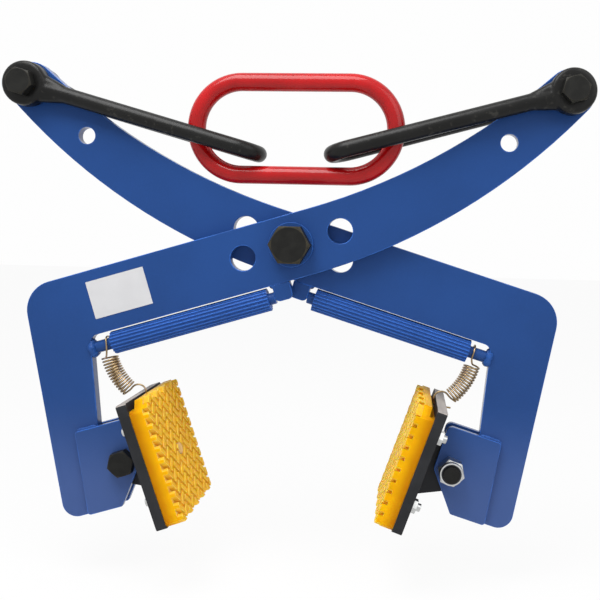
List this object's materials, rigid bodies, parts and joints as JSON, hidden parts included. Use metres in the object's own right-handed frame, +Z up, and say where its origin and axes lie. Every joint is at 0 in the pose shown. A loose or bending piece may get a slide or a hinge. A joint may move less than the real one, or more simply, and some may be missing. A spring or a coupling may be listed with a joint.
{
  "type": "lifting tongs",
  "caption": "Scissor-type lifting tongs: crossed flat arms on a pivot bolt, an oblong ring held in shackles above, and sprung swivelling pads with herringbone faces below.",
  "frame": {"origin": "the hook seat: middle of the underside of the ring's upper bar, where a hook carries the tongs", "axes": "+Z up, X across the jaws, Y along the pivot bolt with -Y the front"},
  "size_m": [0.5828, 0.121, 0.4567],
  "materials": {
    "blue_paint": "satin blue paint",
    "grip_blue": "blue ribbed vinyl",
    "red_paint": "gloss red paint",
    "black_forging": "black lacquered forging",
    "black_steel": "blackened steel",
    "dark_plate": "dark painted plate",
    "pad_yellow": "yellow moulded polyurethane",
    "passivated_zinc": "yellow passivated zinc",
    "zinc": "bright zinc"
  },
  "bodies": {
    "pivot": {"pivot_bolt": "black_steel", "pivot_nut": "black_steel", "pivot_washers": "black_steel", "pivot_wear_washer": "zinc"},
    "ring": {"lifting_ring": "red_paint"},
    "right_arm": {"right_arm": "blue_paint", "right_front_cheek": "blue_paint", "right_rear_cheek": "blue_paint", "right_grip_lug": "blue_paint", "right_grip_rod": "blue_paint", "right_grip_sleeve": "grip_blue", "right_foot_bolt": "black_steel", "right_foot_nut": "zinc", "left_shackle_bolt": "black_steel", "left_shackle_nut": "black_steel"},
    "left_arm": {"left_arm": "blue_paint", "left_front_cheek": "blue_paint", "left_rear_cheek": "blue_paint", "left_grip_lug": "blue_paint", "left_grip_rod": "blue_paint", "left_grip_sleeve": "grip_blue", "left_foot_bolt": "black_steel", "left_foot_nut": "zinc", "right_shackle_bolt": "black_steel", "right_shackle_nut": "black_steel"},
    "left_shackle": {"left_shackle": "black_forging"},
    "right_shackle": {"right_shackle": "black_forging"},
    "right_pad": {"right_pad_plate": "dark_plate", "right_pad_bracket": "dark_plate", "right_pad_studs": "zinc", "right_pad_nuts": "zinc", "right_pad": "pad_yellow", "right_pad_spring": "passivated_zinc"},
    "left_pad": {"left_pad_plate": "dark_plate", "left_pad_bracket": "dark_plate", "left_pad_studs": "zinc", "left_pad_nuts": "zinc", "left_pad": "pad_yellow", "left_pad_spring": "passivated_zinc"}
  },
  "joints": [
    {"name": "jaw", "type": "hinge", "parent": "pivot", "child": "right_arm", "pos_m": [0, 0.0065, -0.1516], "axis": [0, 1, 0], "range_deg": [-11.7, 13]},
    {"name": "left_jaw", "type": "hinge", "parent": "pivot", "child": "left_arm", "pos_m": [0, -0.0065, -0.1516], "axis": [0, -1, 0], "range_deg": [-11.7, 13]},
    {"name": "ring_slide", "type": "slide", "parent": "pivot", "child": "ring", "axis": [0, 0, 1], "range_m": [-0.02252, 0.02501]},
    {"name": "left_shackle_turn", "type": "hinge", "parent": "right_arm", "child": "left_shackle", "pos_m": [-0.26797, 0.0065, 0.00143], "axis": [0, 1, 0], "range_deg": [-4.21, 3.79]},
    {"name": "right_shackle_turn", "type": "hinge", "parent": "left_arm", "child": "right_shackle", "pos_m": [0.26797, -0.0065, 0.00143], "axis": [0, -1, 0], "range_deg": [-4.21, 3.79]},
    {"name": "right_pad_swivel", "type": "hinge", "parent": "right_arm", "child": "right_pad", "pos_m": [0.16322, 0.0065, -0.37226], "axis": [0, -1, 0], "range_deg": [-8, 33], "stiffness_Nm_per_rad": 4.5, "springref_deg": -5.78, "deforming": ["right_pad_spring"]},
    {"name": "left_pad_swivel", "type": "hinge", "parent": "left_arm", "child": "left_pad", "pos_m": [-0.16322, -0.0065, -0.37226], "axis": [0, 1, 0], "range_deg": [-8, 33], "stiffness_Nm_per_rad": 4.5, "springref_deg": -5.78, "deforming": ["left_pad_spring"]}
  ],
  "couplings": [
    {"joint": "left_jaw", "follows": "jaw", "ratio": 1},
    {"joint": "ring_slide", "follows": "jaw", "m_per_rad": 0.10978},
    {"joint": "left_shackle_turn", "follows": "jaw", "ratio": -0.323},
    {"joint": "right_shackle_turn", "follows": "jaw", "ratio": -0.323}
  ]
}
